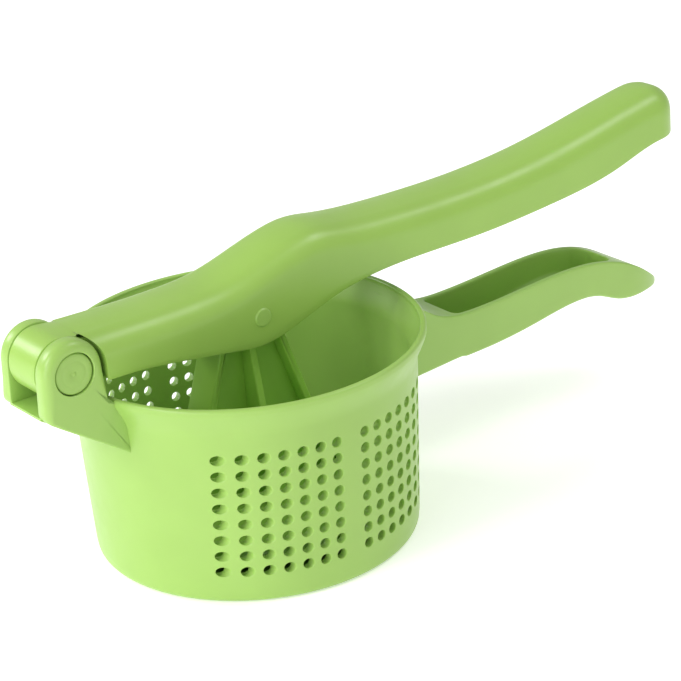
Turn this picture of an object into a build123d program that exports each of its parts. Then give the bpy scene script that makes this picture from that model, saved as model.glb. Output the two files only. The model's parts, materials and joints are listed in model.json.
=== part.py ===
"""Potato ricer: perforated cup with hinge bracket and grip, press lever, plunger and two pins.

Frame: millimetres, +Z up. The origin is the middle of the cup's underside.
+X runs along the two grips, -X is the hinge side. The hinge and plunger pins lie along Y.
"""

import os

from build123d import *

# ------------------------------------------------------------------ driving sizes
# cup
rim_diameter = 90.0
cup_height = 52.3
cup_wall = 2.0
cup_floor = 2.2
cup_draft = 2.15
rim_overhang = 2.75
rim_thickness = 1.75
rim_band = 3.4
foot_radius = 2.0

# hole panels, two on each side of the cup, bored along Y
hole_diameter = 2.6
hole_pitch_x = 4.26
hole_pitch_z = 4.24
hole_columns = 7
hole_rows = 8
panel_gap = 8.1
panel_drop = 13.9

# hinge bracket
hinge_reach = 8.0
hinge_rise = 9.7
ear_radius = 7.9
ear_thickness = 4.5
ear_space = 12.0
ear_round = 2.4
ledge_rise = 0.3
ledge_thickness = 2.4
bracket_depth = 16.2

# lower grip, an open channel
grip_reach = 89.5
grip_width = 17.0
grip_wall = 1.9
grip_floor = 2.2
grip_round = 0.6
pocket_start = 16.0

# press lever, a channel open below
lever_reach = 94.6
lever_width = 21.0
lever_tip_width = 18.0
lever_wall = 2.2
lever_roof = 2.5
lever_round = 5.0
lever_tip_round = 4.0
lever_crown = 0.6
barrel_radius = 7.8

# pins
hinge_pin_diameter = 6.0
hinge_head_diameter = 10.0
hinge_head_depth = 1.9
snap_diameter = 3.2
snap_length = 7.0
plunger_pin_diameter = 4.8

# plunger
plate_thickness = 2.4
plate_lip = 3.6
plate_lift = 7.4
pin_drop = 2.8
hub_radius = 6.8
flange_slope = 0.33
cross_slope = 0.16
rib_thickness = 1.9
hub_step = 3.2

# clearances
pin_clearance = 0.05
ear_clearance = 0.3
shoulder_clearance = 0.8
head_clearance = 0.05
hub_clearance = 0.15
plate_clearance = 2.9

# ------------------------------------------------------------------ derived sizes
rim_r = rim_diameter / 2
wall_top_r = rim_r - rim_overhang
base_r = wall_top_r - cup_draft
rim_z = cup_height
rim_foot_z = rim_z - rim_band

hinge_x = -(rim_r + hinge_reach)
hinge_z = rim_z + hinge_rise
ear_in = ear_space / 2
ear_out = ear_in + ear_thickness

grip_tip_x = rim_r + grip_reach
lever_tip_x = rim_r + lever_reach
lever_half = lever_width / 2
lever_tip_half = lever_tip_width / 2

plunger_pin_z = hinge_z - pin_drop
plate_r = base_r - cup_wall - plate_clearance

hinge_pin_r = hinge_pin_diameter / 2
hinge_head_r = hinge_head_diameter / 2
snap_r = snap_diameter / 2
plunger_pin_r = plunger_pin_diameter / 2
lever_half_at_pin = lever_half + (lever_tip_half - lever_half) * hinge_x / (hinge_x - lever_tip_x)
plunger_pin_end = lever_half_at_pin - 0.1
hub_width = 2 * (lever_half_at_pin - lever_wall - hub_clearance)
flange_width = hub_width - 2 * hub_step


# ------------------------------------------------------------------ hinge bracket
bracket_back_x = hinge_x + ear_radius
bracket_front_x = hinge_x - ear_radius
bracket_toe = (bracket_front_x - 0.5, rim_z - 0.2)
bracket_heel = (-(base_r - cup_wall), rim_z - bracket_depth)
ledge_z = rim_z + ledge_rise

with BuildPart() as bracket:
    with BuildSketch(Plane.XZ):
        with BuildLine():
            Polyline(
                (bracket_back_x, hinge_z),
                (bracket_back_x, rim_z - 1.0),
                (bracket_heel[0], rim_z - 1.0),
                bracket_heel,
                bracket_toe,
                (bracket_front_x, hinge_z),
                close=True,
            )
        make_face()
        with Locations((hinge_x, hinge_z)):
            Circle(ear_radius)
    extrude(amount=ear_out, both=True)
    corners = bracket.edges().filter_by(Axis.Y).group_by(Axis.X)[0]
    fillet(corners, radius=1.6)
    near_rim = bracket.faces().filter_by(Axis.Y).sort_by(Axis.Y)[0].edges()
    far_rim = bracket.faces().filter_by(Axis.Y).sort_by(Axis.Y)[-1].edges()
    outline = (near_rim + far_rim).filter_by_position(Axis.X, -200, bracket_back_x + 0.1)
    fillet(outline, radius=ear_round)
    # the space between the ears, open at the top and front
    with BuildSketch(Plane.XZ):
        with BuildLine():
            Polyline(
                (bracket_toe[0] - 20.0, hinge_z + 20.0),
                (bracket_toe[0] - 20.0, ledge_z),
                (bracket_heel[0], ledge_z),
                (bracket_heel[0], hinge_z + 20.0),
                close=True,
            )
        make_face()
    extrude(amount=ear_in, both=True, mode=Mode.SUBTRACT)
    # the underside is cored out below the ledge
    with BuildSketch(Plane.XZ):
        with BuildLine():
            Polyline(
                (bracket_toe[0] + 3.4, ledge_z - ledge_thickness),
                (bracket_heel[0], ledge_z - ledge_thickness),
                (bracket_heel[0], bracket_heel[1] - 10.0),
                (bracket_toe[0] + 3.4, bracket_heel[1] - 10.0),
                close=True,
            )
        make_face()
    extrude(amount=ear_in, both=True, mode=Mode.SUBTRACT)

# ------------------------------------------------------------------ lower grip
grip_top = [
    (rim_r - 3.0, rim_z - 3.4),
    (rim_r + 6.0, rim_z - 8.6),
    (rim_r + 14.5, rim_z - 12.4),
    (rim_r + 23.0, rim_z - 13.2),
    (rim_r + 48.0, rim_z - 11.6),
    (rim_r + 66.0, rim_z - 13.0),
    (rim_r + 78.0, rim_z - 18.0),
    (grip_tip_x, rim_z - 25.8),
]
grip_under = [
    (grip_tip_x - 0.6, rim_z - 27.0),
    (rim_r + 74.0, rim_z - 25.4),
    (rim_r + 64.5, rim_z - 22.0),
    (rim_r + 55.0, rim_z - 20.8),
    (rim_r + 38.0, rim_z - 22.9),
    (rim_r + 20.0, rim_z - 24.4),
    (base_r - cup_wall, rim_z - 25.4),
]
pocket_end_x = rim_r + pocket_start
pocket_floor = [(x, z + grip_floor) for x, z in grip_under[1:-2]]

with BuildPart() as pocket:
    with BuildSketch(Plane.XZ.offset(grip_wall - grip_width / 2)):
        with BuildLine():
            bed = Spline(
                (grip_tip_x + 1.0, rim_z - 27.0 + grip_floor),
                *pocket_floor,
                (pocket_end_x, rim_z - 24.4 + grip_floor),
            )
            Polyline(
                bed @ 1,
                (pocket_end_x, rim_z + 5.0),
                (grip_tip_x + 1.0, rim_z + 5.0),
                bed @ 0,
            )
        make_face()
    extrude(amount=grip_width - 2 * grip_wall)
    fillet(pocket.edges().filter_by(Axis.Z).group_by(Axis.X)[0], radius=2.0)

with BuildPart() as grip:
    with BuildSketch(Plane.XZ.offset(-grip_width / 2)):
        with BuildLine():
            brow = Spline(*grip_top)
            Line(brow @ 1, grip_under[0])
            belly = Spline(*grip_under)
            Polyline(belly @ 1, (base_r - cup_wall, grip_top[0][1]), brow @ 0)
        make_face()
    extrude(amount=grip_width)
    with BuildSketch(Plane.XY):
        with Locations((grip_tip_x / 2, 0)):
            RectangleRounded(grip_tip_x, grip_width, 0.47 * grip_width)
    extrude(amount=rim_z, mode=Mode.INTERSECT)
    sole = grip.faces().filter_by(lambda f: f.normal_at().Z < -0.7)
    soft = sole.edges().filter_by(lambda e: abs(e.center().Y) > grip_width / 2 - 0.2)
    fillet(soft, radius=grip_round)
    add(pocket.part, mode=Mode.SUBTRACT)

# ------------------------------------------------------------------ basket
with BuildPart() as basket:
    with BuildSketch(Plane.XZ):
        with BuildLine():
            Polyline(
                (0, 0),
                (base_r, 0),
                (wall_top_r, rim_foot_z - rim_overhang),
                (rim_r, rim_foot_z),
                (rim_r, rim_z),
                (0, rim_z),
                close=True,
            )
        make_face()
    revolve(axis=Axis.Z)
    rings = basket.edges().filter_by(GeomType.CIRCLE).sort_by(Axis.Z)
    fillet(rings[:1], radius=foot_radius)
    rings = basket.edges().filter_by(GeomType.CIRCLE).filter_by_position(
        Axis.Z, rim_z - 2 * rim_overhang - rim_band, rim_z - 0.5 * rim_band
    )
    fillet(rings, radius=1.5)
    add(bracket.part)
    add(grip.part)
    # the bowl of the cup
    with BuildSketch(Plane.XZ):
        with BuildLine():
            Polyline(
                (0, cup_floor),
                (base_r - cup_wall, cup_floor),
                (wall_top_r - cup_wall, rim_foot_z - 1.6),
                (rim_r - rim_thickness, rim_z - 1.4),
                (rim_r - rim_thickness, rim_z + 1.0),
                (0, rim_z + 1.0),
                close=True,
            )
        make_face()
    revolve(axis=Axis.Z, mode=Mode.SUBTRACT)
    # the perforated panels
    first_column = panel_gap / 2 + hole_pitch_x * (hole_columns - 1) / 2
    panel_z = rim_z - panel_drop - hole_pitch_z * (hole_rows - 1) / 2
    with BuildSketch(Plane.XZ):
        with Locations((-first_column, panel_z), (first_column, panel_z)):
            with GridLocations(hole_pitch_x, hole_pitch_z, hole_columns, hole_rows):
                Circle(hole_diameter / 2)
    extrude(amount=rim_r + 5.0, both=True, mode=Mode.SUBTRACT)
    # hinge bore and the recesses for the pin heads
    with BuildSketch(Plane.XZ):
        with Locations((hinge_x, hinge_z)):
            Circle(hinge_pin_r + pin_clearance)
    extrude(amount=ear_out + 1.0, both=True, mode=Mode.SUBTRACT)
    for side in (-1, 1):
        with BuildSketch(Plane.XZ.offset(-side * (ear_out - hinge_head_depth))):
            with Locations((hinge_x, hinge_z)):
                Circle(hinge_head_r + head_clearance)
        extrude(amount=-side * 10.0, mode=Mode.SUBTRACT)

basket.part.label = "basket"

# ------------------------------------------------------------------ lever
# ridge and underside of the lever: place along X, height against the hinge pin
ridge = Edge.make_spline(
    [
        Vector(hinge_x, 0, hinge_z + barrel_radius),
        Vector(-rim_r * 0.78, 0, hinge_z + 7.1),
        Vector(-rim_r * 0.45, 0, hinge_z + 6.9),
        Vector(-rim_r * 0.20, 0, hinge_z + 7.6),
        Vector(rim_r * 0.10, 0, hinge_z + 11.0),
        Vector(rim_r * 0.30, 0, hinge_z + 13.3),
        Vector(rim_r * 0.42, 0, hinge_z + 13.9),
        Vector(rim_r * 0.60, 0, hinge_z + 12.9),
        Vector(rim_r, 0, hinge_z + 11.3),
        Vector(rim_r + 24.0, 0, hinge_z + 10.9),
        Vector(rim_r + 50.0, 0, hinge_z + 12.8),
        Vector(rim_r + 74.0, 0, hinge_z + 16.9),
        Vector(lever_tip_x, 0, hinge_z + 20.6),
    ]
)
keel = Edge.make_spline(
    [
        Vector(hinge_x, 0, hinge_z - 4.4),
        Vector(-rim_r * 0.80, 0, hinge_z - 4.9),
        Vector(-rim_r * 0.45, 0, hinge_z - 7.1),
        Vector(-rim_r * 0.20, 0, hinge_z - 9.0),
        Vector(0, 0, hinge_z - 10.0),
        Vector(rim_r * 0.20, 0, hinge_z - 8.2),
        Vector(rim_r * 0.50, 0, hinge_z - 4.0),
        Vector(rim_r * 0.85, 0, hinge_z - 1.9),
        Vector(rim_r + 22.0, 0, hinge_z - 2.0),
        Vector(rim_r + 48.0, 0, hinge_z - 0.9),
        Vector(rim_r + 72.0, 0, hinge_z + 2.4),
        Vector(lever_tip_x, 0, hinge_z + 7.2),
    ]
)


def height_at(curve, x):
    """Height of a side curve of the lever at one place along X."""
    low = 0.0
    high = 1.0
    for _ in range(40):
        middle = (low + high) / 2
        if curve.position_at(middle).X < x:
            low = middle
        else:
            high = middle
    return curve.position_at(low).Z


def lever_section(x, inset, roof, drop):
    """One cross-section of the lever: flat sides, round shoulders and a low crown."""
    travel = (x - hinge_x) / (lever_tip_x - hinge_x)
    half = lever_half + (lever_tip_half - lever_half) * travel - inset
    corner = lever_round - inset
    crown = height_at(ridge, x) - roof
    shoulder = crown - lever_crown
    foot = height_at(keel, x) - drop
    with BuildSketch(Plane.YZ.offset(x)) as section:
        with BuildLine():
            left = RadiusArc((-half, shoulder - corner), (-half + corner, shoulder), corner)
            right = RadiusArc((half - corner, shoulder), (half, shoulder - corner), corner)
            ThreePointArc(left @ 1, (0, crown), right @ 0)
            Polyline(right @ 1, (half, foot), (-half, foot), left @ 0)
        make_face()
    return section.sketch


def stations(start, end, count):
    """Evenly spaced places along X."""
    return [start + (end - start) * i / (count - 1) for i in range(count)]


core_root_x = hinge_x + ear_radius + shoulder_clearance + lever_wall + 1.0
with BuildPart() as lever_core:
    places = stations(core_root_x, lever_tip_x - lever_wall, 22)
    loft([lever_section(x, lever_wall, lever_roof, 8.0) for x in places])

with BuildPart() as lever:
    loft([lever_section(x, 0.0, 0.0, 0.0) for x in stations(hinge_x, lever_tip_x, 20)])
    tip_face = lever.faces().sort_by(Axis.X)[-1]
    tip_edges = tip_face.edges().sort_by(Axis.Z)[1:]
    fillet(tip_edges, radius=lever_tip_round)
    add(lever_core.part, mode=Mode.SUBTRACT)
    # room for the two ears, struck round the hinge pin
    for side in (-1, 1):
        with BuildSketch(Plane.XZ.offset(-side * (ear_in - ear_clearance))):
            with Locations((hinge_x, hinge_z)):
                Circle(ear_radius + shoulder_clearance)
            with Locations((hinge_x, hinge_z - ear_radius)):
                Rectangle(2 * (ear_radius + shoulder_clearance + 0.2), 2 * ear_radius)
        extrude(amount=-side * lever_width, mode=Mode.SUBTRACT)
    # the barrel between the ears
    with BuildSketch(Plane.XZ.offset(ear_clearance - ear_in)):
        with Locations((hinge_x, hinge_z)):
            Circle(barrel_radius)
    extrude(amount=ear_space - 2 * ear_clearance)
    with BuildSketch(Plane.XZ):
        with Locations((hinge_x, hinge_z)):
            Circle(hinge_pin_r + pin_clearance)
    extrude(amount=lever_half, both=True, mode=Mode.SUBTRACT)
    with BuildSketch(Plane.XZ):
        with Locations((0, plunger_pin_z)):
            Circle(plunger_pin_r + pin_clearance)
    extrude(amount=lever_half + 1.0, both=True, mode=Mode.SUBTRACT)

lever.part.label = "lever"

# ------------------------------------------------------------------ plunger
plate_top = plate_lift + plate_thickness
stem_run = plunger_pin_z - plate_top
stem_top_x = hub_radius - rib_thickness
stem_foot_x = stem_top_x + flange_slope * stem_run
cross_top_y = flange_width / 2 - 1.6
cross_foot_y = cross_top_y + cross_slope * stem_run

with BuildPart() as plunger:
    # press plate with an upturned lip
    with BuildSketch(Plane.XY.offset(plate_lift)):
        Circle(plate_r)
    extrude(amount=plate_thickness + plate_lip)
    with BuildSketch(Plane.XY.offset(plate_top)):
        Circle(plate_r - rib_thickness)
    extrude(amount=plate_lip, mode=Mode.SUBTRACT)
    fillet(plunger.edges().filter_by(GeomType.CIRCLE).sort_by(Axis.Z)[:1], radius=0.8)
    # middle web
    with BuildSketch(Plane.XZ.offset(-rib_thickness / 2)):
        with BuildLine():
            Polyline(
                (-stem_foot_x, plate_top - 0.5),
                (stem_foot_x, plate_top - 0.5),
                (stem_top_x, plunger_pin_z),
                (-stem_top_x, plunger_pin_z),
                close=True,
            )
        make_face()
    extrude(amount=rib_thickness)
    # the two leaning flanges
    with BuildSketch(Plane.XZ.offset(-flange_width / 2)):
        for side in (-1, 1):
            with BuildLine():
                Polyline(
                    (side * stem_foot_x, plate_top - 0.5),
                    (side * (stem_foot_x + rib_thickness), plate_top - 0.5),
                    (side * hub_radius, plunger_pin_z),
                    (side * stem_top_x, plunger_pin_z),
                    close=True,
                )
            make_face()
    extrude(amount=flange_width)
    # cross rib under the pin
    with BuildSketch(Plane.YZ.offset(-rib_thickness / 2)):
        with BuildLine():
            Polyline(
                (-cross_foot_y, plate_top - 0.5),
                (cross_foot_y, plate_top - 0.5),
                (cross_top_y, plunger_pin_z),
                (-cross_top_y, plunger_pin_z),
                close=True,
            )
        make_face()
    extrude(amount=rib_thickness)
    # head round the pin
    with BuildSketch(Plane.XZ.offset(-flange_width / 2)):
        with Locations((0, plunger_pin_z)):
            Circle(hub_radius)
    extrude(amount=flange_width)
    with BuildSketch(Plane.XZ.offset(-hub_width / 2)):
        with Locations((0, plunger_pin_z)):
            Circle(plunger_pin_r + 2.0)
    extrude(amount=hub_width)
    with BuildSketch(Plane.XZ):
        with Locations((0, plunger_pin_z)):
            Circle(plunger_pin_r + pin_clearance)
    extrude(amount=hub_width, both=True, mode=Mode.SUBTRACT)

plunger.part.label = "plunger"

# ------------------------------------------------------------------ pins
head_seat = ear_out - hinge_head_depth

with BuildPart() as hinge_pin:
    with BuildSketch(Plane.XZ.offset(head_seat)):
        with Locations((hinge_x, hinge_z)):
            Circle(hinge_head_r)
    extrude(amount=hinge_head_depth)
    fillet(hinge_pin.edges().group_by(Axis.Y)[0], radius=0.5)
    with BuildSketch(Plane.XZ.offset(-head_seat)):
        with Locations((hinge_x, hinge_z)):
            Circle(hinge_pin_r)
    extrude(amount=2 * head_seat)
    with BuildSketch(Plane.XZ.offset(-head_seat)):
        with Locations((hinge_x, hinge_z)):
            Circle(snap_r)
    extrude(amount=snap_length + 0.5, mode=Mode.SUBTRACT)

hinge_pin.part.label = "hinge_pin"

with BuildPart() as hinge_pin_cap:
    with BuildSketch(Plane.XZ.offset(-head_seat)):
        with Locations((hinge_x, hinge_z)):
            Circle(hinge_head_r)
    extrude(amount=-hinge_head_depth)
    fillet(hinge_pin_cap.edges().group_by(Axis.Y)[-1], radius=0.5)
    with BuildSketch(Plane.XZ.offset(-head_seat)):
        with Locations((hinge_x, hinge_z)):
            Circle(snap_r)
    extrude(amount=snap_length)

hinge_pin_cap.part.label = "hinge_pin_cap"

with BuildPart() as plunger_pin:
    with BuildSketch(Plane.XZ.offset(-plunger_pin_end)):
        with Locations((0, plunger_pin_z)):
            Circle(plunger_pin_r)
    extrude(amount=2 * plunger_pin_end)
    chamfer(plunger_pin.edges().filter_by(GeomType.CIRCLE), length=0.3)

plunger_pin.part.label = "plunger_pin"

# ------------------------------------------------------------------ files
os.makedirs("parts", exist_ok=True)
export_step(basket.part, "parts/basket.step")
export_step(lever.part, "parts/lever.step")
export_step(plunger.part, "parts/plunger.step")
export_step(hinge_pin.part, "parts/hinge_pin.step")
export_step(hinge_pin_cap.part, "parts/hinge_pin_cap.step")
export_step(plunger_pin.part, "parts/plunger_pin.step")
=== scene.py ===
"""Potato ricer in moulded polypropylene: every visible piece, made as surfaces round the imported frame.

Shapes are worked out in millimetres and written to the meshes in metres.
"""

import json
import math
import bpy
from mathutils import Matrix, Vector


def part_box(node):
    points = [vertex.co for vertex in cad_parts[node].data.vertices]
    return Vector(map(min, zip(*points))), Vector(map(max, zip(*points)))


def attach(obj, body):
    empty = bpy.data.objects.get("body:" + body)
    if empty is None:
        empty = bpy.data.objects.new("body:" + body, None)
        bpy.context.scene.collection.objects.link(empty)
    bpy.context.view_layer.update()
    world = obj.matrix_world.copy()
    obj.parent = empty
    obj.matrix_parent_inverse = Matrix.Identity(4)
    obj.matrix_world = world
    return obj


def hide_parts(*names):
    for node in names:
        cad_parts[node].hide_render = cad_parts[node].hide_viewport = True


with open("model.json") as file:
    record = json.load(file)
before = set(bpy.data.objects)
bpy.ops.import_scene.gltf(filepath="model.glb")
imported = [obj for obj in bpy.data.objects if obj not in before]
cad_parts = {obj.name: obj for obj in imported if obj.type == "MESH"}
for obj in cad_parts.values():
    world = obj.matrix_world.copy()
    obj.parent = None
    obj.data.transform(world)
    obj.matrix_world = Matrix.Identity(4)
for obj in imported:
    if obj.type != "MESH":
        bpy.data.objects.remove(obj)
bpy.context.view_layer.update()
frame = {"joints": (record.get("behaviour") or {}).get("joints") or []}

from types import SimpleNamespace

import bmesh
import bpy
import numpy as np
from mathutils import Matrix, Vector

bl_info = {
    "name": "Potato ricer",
    "version": (1, 0, 0),
    "blender": (4, 5, 0),
    "location": "View3D > Sidebar > Ricer",
    "description": "Builds the cup, bracket, grip, lever, plunger and pins of a potato ricer",
    "category": "Add Mesh",
}

MM = 0.001
PINS = {joint["name"]: [v / MM for v in joint["pos_m"]] for joint in frame["joints"]}
HINGE_X, _, HINGE_Z = PINS["lever_hinge"]
PRESS_X, _, PRESS_Z = PINS["plunger_tilt"]
RIM = 45.0  # the cup's full radius, from which the grips are set out
GRIP_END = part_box("basket")[1].x / MM
LEVER_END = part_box("lever")[1].x / MM


# ------------------------------------------------------------------ sizes and colours


def linear(hex_colour):
    """An sRGB hex value as linear red, green, blue and alpha."""
    srgb = np.array([int(hex_colour[i : i + 2], 16) for i in (1, 3, 5)]) / 255
    light = np.where(srgb <= 0.04045, srgb / 12.92, ((srgb + 0.055) / 1.055) ** 2.4)
    return (*light.tolist(), 1.0)


def length(name, description, size):
    """A size given in millimetres and held in metres, as the panel shows lengths."""
    return bpy.props.FloatProperty(
        name=name, description=description, default=size * MM, min=0.01 * MM, unit="LENGTH", precision=5
    )


def tone(name, description, hex_colour):
    """A colour given as an sRGB hex value and held as linear light."""
    return bpy.props.FloatVectorProperty(
        name=name,
        description=description,
        default=linear(hex_colour),
        size=4,
        min=0.0,
        max=1.0,
        subtype="COLOR",
    )


class RicerSizes(bpy.types.PropertyGroup):
    """Sizes of the moulded pieces."""

    rim_radius: length("Rim radius", "Outer radius of the cup's rim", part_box("basket")[1].y / MM - 0.15)
    cup_height: length("Cup height", "Rim above the underside", HINGE_Z - 9.7)
    wall_radius: length("Wall radius", "Outer radius of the wall just below the rim", 42.25)
    foot_radius: length("Foot radius", "Outer radius of the wall at the underside", 40.1)
    wall: length("Cup wall", "Thickness of the cup's wall", 2.0)
    floor: length("Cup floor", "Thickness of the cup's floor", 2.2)
    hole: length("Hole diameter", "Diameter of the bores in the cup's wall", 2.6)
    hole_pitch: length("Hole pitch", "Distance from hole to hole", 4.25)
    panel_gap: length("Panel gap", "Distance between the nearest columns of two panels", 8.1)
    panel_drop: length("Panel drop", "Top row of holes below the rim", 13.9)
    ear_radius: length("Ear radius", "Radius of an ear round the hinge pin", 7.9)
    ear_inside: length("Ear inside", "Inner face of an ear from the middle", 6.0)
    ear_outside: length("Ear outside", "Outer face of an ear from the middle", 10.5)
    barrel_radius: length("Barrel radius", "Radius of the lever's barrel", 7.8)
    lever_half: length("Lever half width", "Half the lever's width at the hinge", 10.5)
    lever_tip_half: length("Lever tip half width", "Half the lever's width at its tip", 9.0)
    lever_wall: length("Lever wall", "Thickness of the lever's sides", 2.2)
    lever_roof: length("Lever roof", "Thickness of the lever's top", 2.5)
    grip_half: length("Grip half width", "Half the lower grip's width", 8.5)
    grip_wall: length("Grip wall", "Thickness of the lower grip's sides", 1.9)
    grip_floor: length("Grip floor", "Thickness of the lower grip's floor", 2.2)
    plate_radius: length("Plate radius", "Radius of the press plate", 35.2)
    plate_lift: length("Plate lift", "Underside of the press plate above the origin", 7.4)
    rib: length("Rib", "Thickness of the plunger's ribs", 1.9)


class RicerColours(bpy.types.PropertyGroup):
    """Colours of the moulded pieces and the studio floor."""

    shell: tone("Shell", "Cup, bracket and lower grip", "#9dc360")
    lever: tone("Lever", "Press lever", "#9ac157")
    plunger: tone("Plunger", "Plunger and press plate", "#9bcb52")
    pins: tone("Pins", "Pins and cap", "#9bc15e")
    floor: tone("Floor", "Studio floor and surround", "#fbfbfb")


# ------------------------------------------------------------------ surfaces


def spread(*stops, count=8):
    """Places between each pair of stops, evenly spaced, each stop once."""
    runs = [np.linspace(a, b, count, endpoint=False) for a, b in zip(stops, stops[1:])]
    return np.concatenate([*runs, [stops[-1]]])


def smooth(points, x):
    """Natural cubic curve through (x, height) points, read at every x of an array."""
    px, pz = np.array(points, float).T
    x = np.clip(x, px[0], px[-1])
    gap = np.diff(px)
    slope = np.diff(pz) / gap
    system = np.eye(len(px))
    inner = np.arange(1, len(px) - 1)
    system[inner, inner - 1] = gap[:-1]
    system[inner, inner] = 2 * (gap[:-1] + gap[1:])
    system[inner, inner + 1] = gap[1:]
    bend = np.linalg.solve(system, np.concatenate([[0], 6 * np.diff(slope), [0]]))
    k = np.clip(np.searchsorted(px, x) - 1, 0, len(px) - 2)
    t, u, h = x - px[k], px[k + 1] - x, gap[k]
    cubic = (bend[k] * u**3 + bend[k + 1] * t**3) / (6 * h)
    return cubic + (pz[k] / h - bend[k] * h / 6) * u + (pz[k + 1] / h - bend[k + 1] * h / 6) * t


def inward(path):
    """Unit normals on the left of an open or closed path of (x, y) points."""
    closed = np.allclose(path[0], path[-1])
    ring = np.concatenate([path[-2:-1], path, path[1:2]]) if closed else path
    step = np.gradient(ring, axis=0)
    step = step[1:-1] if closed else step
    normal = np.stack([-step[:, 1], step[:, 0]], axis=1)
    return normal / np.linalg.norm(normal, axis=1, keepdims=True)


def arc(centre, radius, start, end, count):
    """Points of a circle's arc from one angle to another, in degrees."""
    angle = np.radians(np.linspace(start, end, count))
    return np.stack([centre[0] + radius * np.cos(angle), centre[1] + radius * np.sin(angle)], axis=1)


def line(start, end, count):
    """Points of a straight run."""
    return np.linspace(start, end, count)


def resample(path, count):
    """The same open path with evenly spaced points."""
    step = np.concatenate([[0], np.cumsum(np.linalg.norm(np.diff(path, axis=0), axis=1))])
    at = np.linspace(0, step[-1], count)
    return np.stack([np.interp(at, step, path[:, i]) for i in range(path.shape[1])], axis=1)


def grid_faces(shape):
    """Quads of a grid of points, for one grid or a stack of them."""
    rows, columns = shape[-3], shape[-2]
    stack = int(np.prod(shape[:-3]))
    index = np.arange(stack * rows * columns).reshape(stack, rows, columns)
    quad = [index[:, :-1, :-1], index[:, :-1, 1:], index[:, 1:, 1:], index[:, 1:, :-1]]
    return np.stack(quad, axis=-1).reshape(-1, 4)


def make_piece(name, grids, material, body, nodes=(), weld=0.004, sharp=40.0):
    """A closed mesh from grids of points in millimetres, welded, and shaded smooth up to an angle.

    A seam that no grid closes, such as one hidden inside a neighbour, is filled.
    """
    points, faces, start = [], [], 0
    for grid in grids:
        points.append(grid.reshape(-1, 3))
        faces.append(grid_faces(grid.shape) + start)
        start += len(points[-1])
    mesh = bpy.data.meshes.new(name)
    mesh.from_pydata((np.concatenate(points) * MM).tolist(), [], np.concatenate(faces).tolist())
    work = bmesh.new()
    work.from_mesh(mesh)
    bmesh.ops.remove_doubles(work, verts=work.verts, dist=weld * MM)
    bmesh.ops.dissolve_degenerate(work, edges=work.edges, dist=0.25 * weld * MM)
    loose = [v for v in work.verts if not v.link_faces]
    bmesh.ops.delete(work, geom=loose, context="VERTS")
    rims = [e for e in work.edges if len(e.link_faces) == 1]
    closed = bmesh.ops.holes_fill(work, edges=rims, sides=0)["faces"]
    bmesh.ops.triangulate(work, faces=closed)
    if any(len(edge.link_faces) != 2 for edge in work.edges):
        raise RuntimeError(f"{name} is not a closed surface")
    bmesh.ops.recalc_face_normals(work, faces=work.faces)
    for edge in work.edges:
        edge.smooth = edge.calc_face_angle(0.0) < math.radians(sharp)
    for face in work.faces:
        face.smooth = True
    work.to_mesh(mesh)
    work.free()
    piece = bpy.data.objects.new(name, mesh)
    bpy.context.scene.collection.objects.link(piece)
    mesh.materials.append(material)
    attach(piece, body)
    if nodes:
        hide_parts(*nodes)
    return piece


# ------------------------------------------------------------------ finishes


def add(tree, kind, settings=(), **links):
    """One node with its settings, and its inputs linked or set by name, or by number as i0, i1."""
    node = tree.nodes.new(kind)
    for name, value in dict(settings).items():
        setattr(node, name, value)
    for name, value in links.items():
        key = int(name[1:]) if name[1:].isdigit() else name.replace("_", " ")
        socket = node.inputs[key]
        if isinstance(value, bpy.types.NodeSocket):
            tree.links.new(value, socket)
        else:
            socket.default_value = value
    return node


def moulded_polypropylene(name, tint, grain=0.35):
    """Injection-moulded polypropylene: satin and faintly translucent, with soft broad highlights.

    The mould's spark-eroded skin blurs reflections, and the pigment clouds slightly along the flow.
    """
    material = bpy.data.materials.get(name)
    if material:
        return material
    material = bpy.data.materials.new(name)
    material.use_nodes = True
    tree = material.node_tree
    tree.nodes.clear()
    where = add(tree, "ShaderNodeTexCoord").outputs["Object"]
    # pigment clouding runs over about 18 mm, as the melt flowed
    cloud = add(tree, "ShaderNodeTexNoise", Vector=where, Scale=1 / (18 * MM), Detail=3.0)
    pale = (*(min(1.0, c * 1.07 + 0.006) for c in tint[:3]), 1.0)
    deep = (*(c * 0.93 for c in tint[:3]), 1.0)
    kind = {"data_type": "RGBA"}
    colour = add(tree, "ShaderNodeMix", kind, i0=cloud.outputs["Fac"], i6=deep, i7=pale)
    # the eroded mould leaves grains a third of a millimetre across
    skin = add(tree, "ShaderNodeTexNoise", Vector=where, Scale=1 / (grain * MM), Detail=2.0)
    # slow ripple of the cooled wall, a centimetre from crest to crest
    ripple = add(tree, "ShaderNodeTexNoise", Vector=where, Scale=1 / (11 * MM), Detail=1.0)
    # rub marks from handling make dull and bright patches 5 mm across
    rub = add(tree, "ShaderNodeTexNoise", Vector=where, Scale=1 / (5 * MM), Detail=4.0, Roughness=0.6)
    gloss = add(tree, "ShaderNodeMapRange", i0=rub.outputs["Fac"], i1=0.3, i2=0.7, i3=0.29, i4=0.38)
    fine = add(tree, "ShaderNodeBump", Height=skin.outputs["Fac"], Strength=0.22, Distance=0.05 * MM)
    slow = add(
        tree,
        "ShaderNodeBump",
        Height=ripple.outputs["Fac"],
        Strength=0.35,
        Distance=0.25 * MM,
        Normal=fine.outputs["Normal"],
    )
    shader = add(
        tree,
        "ShaderNodeBsdfPrincipled",
        Base_Color=colour.outputs[2],
        Roughness=gloss.outputs["Result"],
        Normal=slow.outputs["Normal"],
        IOR=1.49,
        Subsurface_Weight=0.12,
        Subsurface_Radius=(0.6, 1.0, 0.25),
        Subsurface_Scale=1.6 * MM,
    )
    output = add(tree, "ShaderNodeOutputMaterial", Surface=shader.outputs["BSDF"])
    output.is_active_output = True
    return material


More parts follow.
